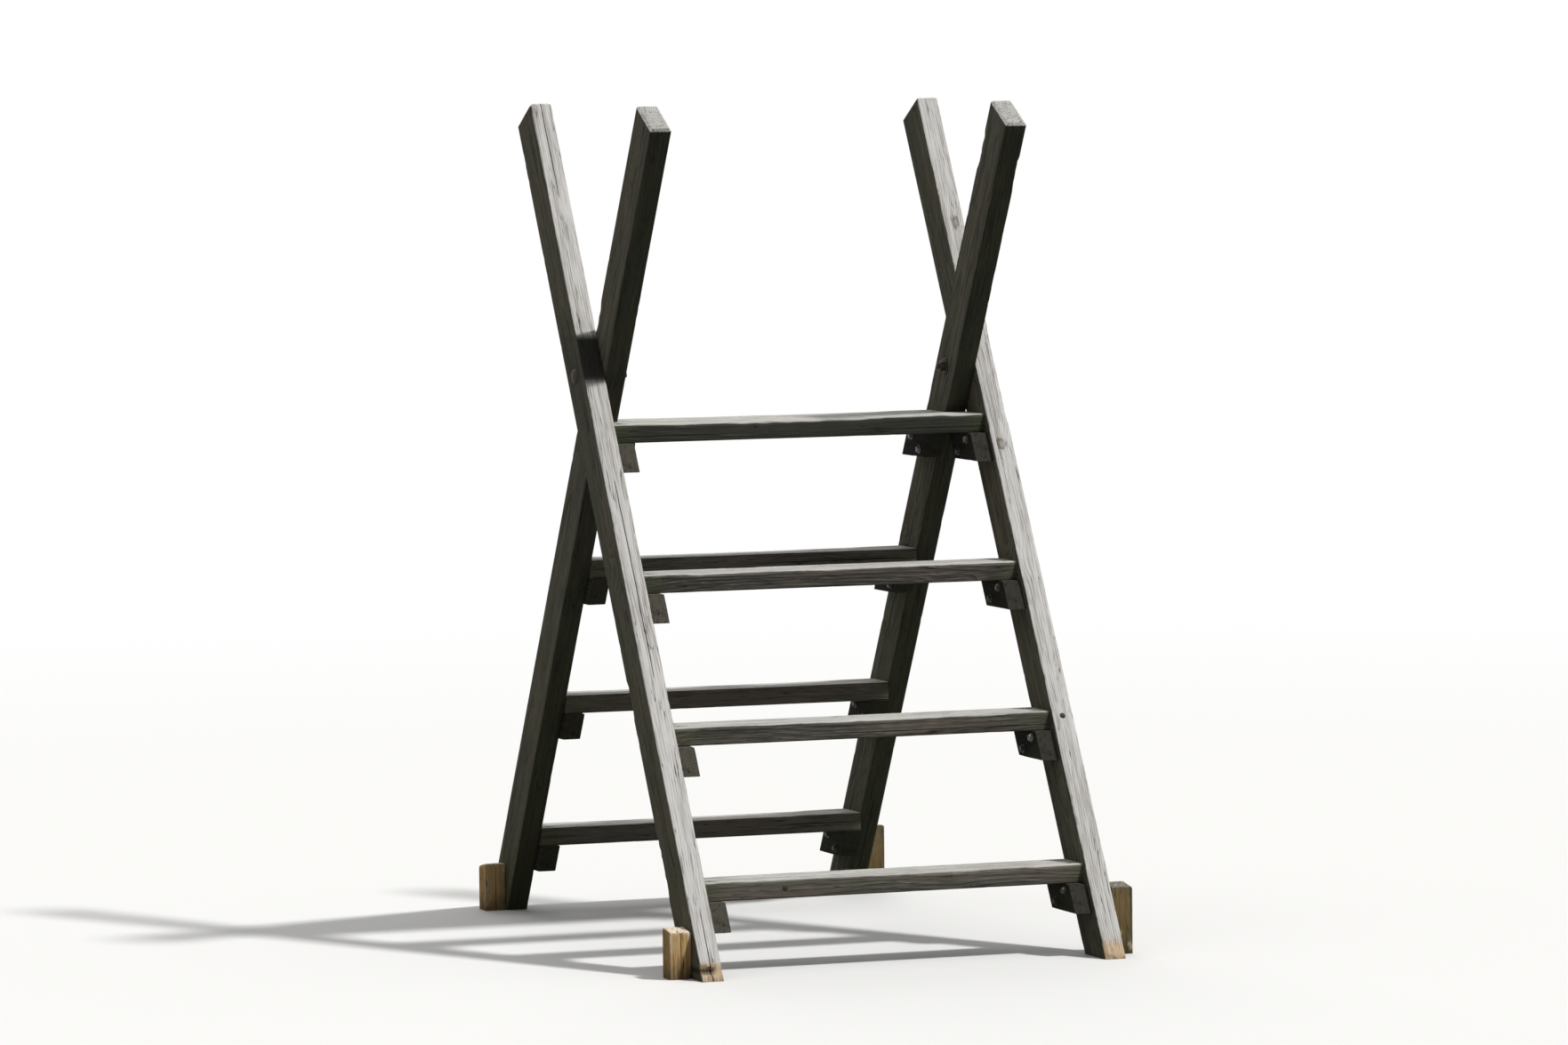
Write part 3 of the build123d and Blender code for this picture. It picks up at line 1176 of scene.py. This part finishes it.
aged_zinc = make_aged_zinc()
print("aged zinc:", len(aged_zinc.nodes), "nodes")

# %% [markdown]
# The screws and most nails still have their zinc. The crossing bolts and two of the nails have
# lost it, and use the same group with browner values.


# %% Finishes of the fixings
def steel(name, zinc, dull, rust):
    """A material of galvanised steel."""
    made = bpy.data.materials.new(name)
    tree = cleared(made)
    coat = use(tree, aged_zinc, Zinc=zinc, Dull=dull, Rust=rust)
    bump = add(tree, "ShaderNodeBump",
               {"Height": coat["Relief"], "Strength": 0.4, "Distance": 0.0003})
    shader = add(tree, "ShaderNodeBsdfPrincipled",
                 {"Base Color": coat["Colour"], "Roughness": coat["Roughness"],
                  "Metallic": coat["Metallic"], "Normal": bump.outputs[0],
                  "Specular IOR Level": 0.15})
    add(tree, "ShaderNodeOutputMaterial", {"Surface": shader.outputs[0]})
    return made


finishes["steel_fixings"] = steel("dull zinc", (0.23, 0.235, 0.24), (0.055, 0.057, 0.057), 0.4)
rusted_steel = steel("rusted steel", (0.055, 0.048, 0.042), (0.030, 0.025, 0.021), 0.25)
print("steel finishes:", finishes["steel_fixings"].name, "and", rusted_steel.name)

# %% [markdown]
# ## Fixings by bmesh operators
# Every fixing is made standing on the origin and pointing up +Z, and a matrix sets it on its
# face. A domed head is a quarter arc that is spun round. Washers, hexagons and the end of a
# thread are prisms from create_cone. Fixings of one kind are one mesh, or one for each ladder,
# because they are never moved apart.


# %% Shapes of the fixings
DOME_SUNK = 0.0012
DOME_STEPS = 5


def face_matrix(point, normal, turn=0.0):
    """A matrix that stands a fixing on a face."""
    upright = Vector(normal).to_track_quat("Z", "Y").to_matrix().to_4x4()
    return Matrix.Translation(point) @ upright @ Matrix.Rotation(turn, 4, "Z")


def add_dome(bm, matrix, radius, height, segments):
    """A domed head: a quarter arc spun round the axis, with a flat underside just below the face."""
    points = [(0, 0, -DOME_SUNK), (radius, 0, -DOME_SUNK)]
    for step in range(DOME_STEPS + 1):
        angle = pi / 2 * step / DOME_STEPS
        points.append((radius * cos(angle), 0, height * sin(angle)))
    arc = [bm.verts.new(point) for point in points]
    rims = [bm.edges.new(pair) for pair in zip(arc, arc[1:])]
    bmesh.ops.spin(bm, geom=arc + rims, cent=(0, 0, 0), axis=(0, 0, 1), angle=2 * pi,
                   steps=segments, use_merge=True, use_duplicate=False)
    bmesh.ops.remove_doubles(bm, verts=[v for v in bm.verts if not v.tag], dist=TINY)
    new = [v for v in bm.verts if not v.tag]
    bmesh.ops.transform(bm, matrix=matrix, verts=new)
    for vert in new:
        vert.tag = True


def add_disc(bm, matrix, radius, height, segments, bevel, base=0.0):
    """A short prism with its top edge broken."""
    raised = Matrix.Translation((0, 0, base + height / 2))
    made = bmesh.ops.create_cone(bm, cap_ends=True, segments=segments, radius1=radius,
                                 radius2=radius, depth=height, matrix=matrix @ raised)["verts"]
    axis = (matrix.to_3x3() @ Vector((0, 0, 1))).normalized()
    centre = sum((v.co for v in made), Vector()) / len(made)
    upper = {v for v in made if (v.co - centre).dot(axis) > 0}
    rim = [e for e in {e for v in upper for e in v.link_edges} if set(e.verts) <= upper]
    round_edges(bm, rim, bevel, segments=2)
    for vert in bm.verts:
        vert.tag = True


# %% Make one piece of many fixings
FIXING_SMOOTH_LIMIT = radians(40)


def fixing_piece(bm, name, finish=None):
    """Makes one piece of the fixings in a bmesh."""
    for face in bm.faces:
        face.smooth = True
    for edge in bm.edges:
        edge.smooth = len(edge.link_faces) == 2 and edge.calc_face_angle() < FIXING_SMOOTH_LIMIT
    piece = dress(bm, name, "steel_fixings")
    if finish:
        piece.data.materials[0] = finish
    return piece


# %% [markdown]
# ## Bolts at the crossings
# One 12 mm coach bolt holds each pair of legs. Its domed head is on the outer face, and inside
# are a washer, a nut and the end of the thread.

# %% Crossing bolts
BOLT_HEAD = dict(radius=0.0150, height=0.0068, segments=28)
BOLT_WASHER = dict(radius=0.0170, height=0.0025, segments=28, bevel=0.0004)
BOLT_NUT = dict(radius=0.0110, height=0.0100, segments=6, bevel=0.0010)
BOLT_END = dict(radius=0.0058, height=0.0190, segments=16, bevel=0.0010)


def make_crossing_bolts():
    bm = bmesh.new()
    outer = abs(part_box("front_left_leg")[0].x)
    inner = abs(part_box("rear_left_leg")[1].x)
    for side in SIDES.values():
        add_dome(bm, face_matrix((side * outer, 0, CROSSING), (side, 0, 0)), **BOLT_HEAD)
        inside = face_matrix((side * inner, 0, CROSSING), (-side, 0, 0), turn=0.3)
        add_disc(bm, inside, **BOLT_WASHER)
        add_disc(bm, inside, **BOLT_NUT, base=BOLT_WASHER["height"])
        add_disc(bm, inside, **BOLT_END)
    return fixing_piece(bm, "crossing_bolts", rusted_steel)


crossing_bolts = make_crossing_bolts()
print("crossing bolts:", len(crossing_bolts.data.polygons), "faces")

# %% [markdown]
# ## Screws through the cleats
# Each cleat is held to its leg by two hexagon-headed coach screws with washers, driven from
# between the legs. One sits high and outward, the other low and inward.

# %% Cleat screws
SCREW_WASHER = dict(radius=0.0088, height=0.0015, segments=24, bevel=0.0003)
SCREW_HEAD = dict(radius=0.0068, height=0.0050, segments=6, bevel=0.0008)
SCREW_PLACES = ((0.030, 0.014), (-0.028, -0.012))


def make_cleat_screws(ladder):
    bm = bmesh.new()
    outward = LADDERS[ladder]
    for level in LEVELS:
        for side_name, side in SIDES.items():
            low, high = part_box(f"{ladder}_{level}_{side_name}_cleat")
            free_face = low.x if side > 0 else high.x
            middle = (low + high) / 2
            for step, rise in SCREW_PLACES:
                y = middle.y + outward * step - outward * rise * tan(LEAN)
                at = face_matrix((free_face, y, middle.z + rise), (-side, 0, 0), turn=9 * rise + y)
                add_disc(bm, at, **SCREW_WASHER)
                add_disc(bm, at, **SCREW_HEAD, base=SCREW_WASHER["height"])
    return fixing_piece(bm, f"{ladder}_cleat_screws")


cleat_screws = [make_cleat_screws(ladder) for ladder in LADDERS]
print("cleat screws:", [len(piece.data.polygons) for piece in cleat_screws], "faces")

# %% [markdown]
# ## Nails
# Two round-headed nails go down through each tread end into its cleat, and two go through each
# peg into its leg. The heads lie almost flush, because they have been driven hard.


# %% Tread and peg nails
NAIL_SEGMENTS = 14
TREAD_NAIL_RADIUS = 0.0048
TREAD_NAIL_PROUD = 0.0007
TREAD_NAIL_SUNK = 0.0006
PEG_NAIL_RADIUS = 0.0046
PEG_NAIL_HEIGHT = 0.0012
PEG_NAIL_PLACES = ((0.36, -0.007), (0.66, 0.006))


def make_tread_nails(ladder):
    bm = bmesh.new()
    for level in LEVELS:
        low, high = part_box(f"{ladder}_{level}_tread")
        middle = (low + high) / 2
        for side in SIDES.values():
            for step in (-NAIL_FROM_MIDDLE, NAIL_FROM_MIDDLE):
                x = side * (high.x - NAIL_FROM_END)
                at = face_matrix((x, middle.y + step, high.z - TREAD_NAIL_SUNK), (0, 0, 1))
                add_dome(bm, at, TREAD_NAIL_RADIUS, TREAD_NAIL_PROUD + TREAD_NAIL_SUNK, NAIL_SEGMENTS)
    return fixing_piece(bm, f"{ladder}_tread_nails")


def make_peg_nails():
    bm = bmesh.new()
    for ladder in LADDERS:
        for side_name, side in SIDES.items():
            low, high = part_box(f"{ladder}_{side_name}_peg")
            outer = high.x if side > 0 else low.x
            for share, step in PEG_NAIL_PLACES:
                point = (outer - side * PEG_NAIL_HEIGHT, (low.y + high.y) / 2 + step, high.z * share)
                at = face_matrix(point, (side, 0, 0))
                add_dome(bm, at, PEG_NAIL_RADIUS, PEG_NAIL_HEIGHT, NAIL_SEGMENTS)
    return fixing_piece(bm, "peg_nails")


tread_nails = [make_tread_nails(ladder) for ladder in LADDERS]
peg_nails = make_peg_nails()
print("nails:", sum(len(p.data.polygons) for p in [*tread_nails, peg_nails]), "faces")

# %% [markdown]
# ## Rusted nails
# An ungalvanised nail stands in the front face of the front right leg, and another in the front
# edge of the lowest front tread. Both show as small dark spots.

# %% Rusted nails
RUSTED_NAIL_SUNK = 0.0008
LEG_NAIL = dict(radius=0.0062, height=0.0028, segments=16)
LEG_NAIL_X, LEG_NAIL_Z = 0.4225, 0.461
EDGE_NAIL = dict(radius=0.0058, height=0.0022, segments=16)
EDGE_NAIL_X, EDGE_NAIL_Z = -0.231, 0.162


def make_rusted_nails():
    bm = bmesh.new()
    out_of_leg = Vector((0, -cos(LEAN), sin(LEAN)))
    on_leg = Vector((LEG_NAIL_X, front_face_y(LEG_NAIL_Z), LEG_NAIL_Z)) - out_of_leg * RUSTED_NAIL_SUNK
    add_dome(bm, face_matrix(on_leg, out_of_leg), **LEG_NAIL)
    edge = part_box("front_lower_3_tread")[0].y
    on_edge = Vector((EDGE_NAIL_X, edge + RUSTED_NAIL_SUNK, EDGE_NAIL_Z))
    add_dome(bm, face_matrix(on_edge, (0, -1, 0)), **EDGE_NAIL)
    return fixing_piece(bm, "rusted_nails", rusted_steel)


rusted_nails = make_rusted_nails()
print("rusted nails:", len(rusted_nails.data.polygons), "faces")

# %% [markdown]
# ## Camera
# The camera stands where the photograph was taken from, worked out from the stile's own edges,
# and looks straight at the stile. A long lens brings it close without changing the view of it.

# %% Camera
CAMERA_PLACE = Vector((-5.758, -15.364, 1.946))
LOOKS_AT = Vector((0.0, 0.0, 0.835))
LENS = 186
CAMERA_ROLL = radians(-0.58)

camera = bpy.data.objects.new("camera", bpy.data.cameras.new("camera"))
camera.data.sensor_width = 36
camera.data.lens = LENS
camera.data.clip_start = 0.1
camera.data.clip_end = 400
camera.location = CAMERA_PLACE
facing = (LOOKS_AT - CAMERA_PLACE).to_track_quat("-Z", "Y")
camera.rotation_mode = "QUATERNION"
camera.rotation_quaternion = facing @ Euler((0, 0, CAMERA_ROLL)).to_quaternion()
bpy.context.scene.collection.objects.link(camera)
bpy.context.scene.camera = camera
print("camera", round((LOOKS_AT - CAMERA_PLACE).length, 2), "m from the stile")

# %% [markdown]
# ## Light
# One lamp stands high to the right of the front, as the light fell that day. A very broad one
# overhead lights the treads' tops, and a weak one behind keeps the far side readable. A plain
# pale world fills the rest.

# %% Lamps: direction, strength and breadth
LAMPS = {
    "key_lamp": ((0.43, -0.36, 0.83), 2.8, radians(5)),
    "top_lamp": ((0.0, 0.10, 0.99), 0.9, radians(90)),
    "back_lamp": ((0.10, 0.80, 0.60), 0.6, radians(30)),
}

for name, (direction, strength, breadth) in LAMPS.items():
    lamp = bpy.data.objects.new(name, bpy.data.lights.new(name, "SUN"))
    lamp.data.energy = strength
    lamp.data.angle = breadth
    lamp.rotation_mode = "QUATERNION"
    lamp.rotation_quaternion = Vector(direction).to_track_quat("Z", "Y")
    bpy.context.scene.collection.objects.link(lamp)
print("lamps:", ", ".join(LAMPS))

# %% Pale surround
SURROUND_STRENGTH = 0.17
WHITE = (1, 1, 1)


def seen_straight(tree):
    """1 for rays from the camera, and for those that a gloss or a clear piece has turned."""
    path = add(tree, "ShaderNodeLightPath").outputs
    straight = calc(tree, "MAXIMUM", path["Is Camera Ray"], path["Is Glossy Ray"])
    return calc(tree, "MAXIMUM", straight, path["Is Transmission Ray"])


world = bpy.data.worlds.new("pale surround")
world_tree = cleared(world)
strength = remap(world_tree, seen_straight(world_tree), 0.0, 1.0, SURROUND_STRENGTH, 1.0)
surround = add(world_tree, "ShaderNodeBackground", {"Color": WHITE, "Strength": strength})
add(world_tree, "ShaderNodeOutputWorld", {"Surface": surround.outputs[0]})
bpy.context.scene.world = world
bpy.context.scene.view_settings.view_transform = "Standard"
print("surround:", SURROUND_STRENGTH, "on the stile and 1 to the camera")

# %% [markdown]
# ## Floor
# The floor is pale to the camera and keeps the shadow. The light that it throws back up is that
# of a much duller floor, so that the shaded sides stay as deep as they are outdoors. Far away
# it fades to white.

# %% Floor
FLOOR_RADIUS = 60
FADE_FROM = 2.6
FADE_TO = 9.0
PALE_FLOOR = (0.74, 0.735, 0.72)
DULL_FLOOR = (0.17, 0.17, 0.16)


def floor_finish():
    finish = bpy.data.materials.new("pale floor")
    tree = cleared(finish)
    straight = seen_straight(tree)
    where = add(tree, "ShaderNodeTexCoord").outputs["Object"]
    far = remap(tree, vectors(tree, "LENGTH", where)["Value"], FADE_FROM, FADE_TO)
    matt = add(tree, "ShaderNodeBsdfDiffuse",
               {"Color": mixed(tree, straight, DULL_FLOOR, PALE_FLOOR)})
    white = add(tree, "ShaderNodeEmission", {"Color": WHITE, "Strength": 1.0})
    both = add(tree, "ShaderNodeMixShader",
               {0: times(tree, far, straight), 1: matt.outputs[0], 2: white.outputs[0]})
    add(tree, "ShaderNodeOutputMaterial", {"Surface": both.outputs[0]})
    return finish


bm = bmesh.new()
bmesh.ops.create_circle(bm, cap_ends=True, segments=96, radius=FLOOR_RADIUS)
floor = object_of(bm, "floor", floor_finish())
print("floor", 2 * FLOOR_RADIUS, "m across")
